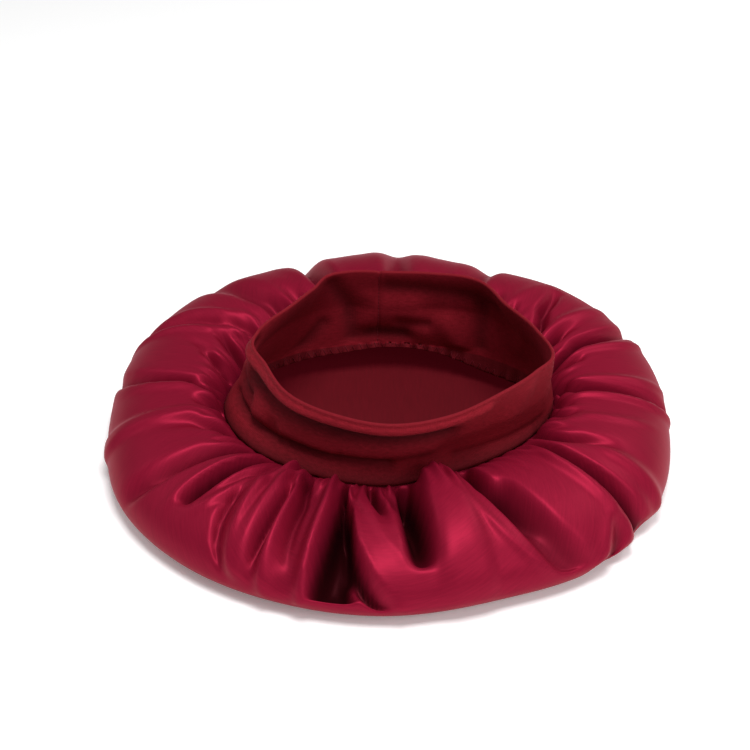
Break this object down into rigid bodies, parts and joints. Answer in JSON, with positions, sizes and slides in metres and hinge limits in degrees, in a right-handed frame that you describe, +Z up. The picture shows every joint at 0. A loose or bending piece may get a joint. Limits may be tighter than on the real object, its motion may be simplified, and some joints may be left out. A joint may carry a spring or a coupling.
{
  "type": "sleep bonnet",
  "caption": "Wide puffed satin sleep bonnet lying on its crown, gathered all round into a deep stand-up stretch knit band, with the head opening facing up.",
  "frame": {"origin": "on the surface that the crown lies on, under the middle of the bonnet's outline", "axes": "+Z up, out through the head opening; +X to the right of the picture; +Y away from its camera, towards the band's join seam"},
  "size_m": [0.3318, 0.3266, 0.0824],
  "materials": {
    "satin": "glossy woven satin, wine red",
    "stretch_jersey": "matte stretch jersey knit, wine red"
  },
  "bodies": {
    "root": {"satin_crown": "satin", "stretch_band": "stretch_jersey"}
  },
  "joints": []
}
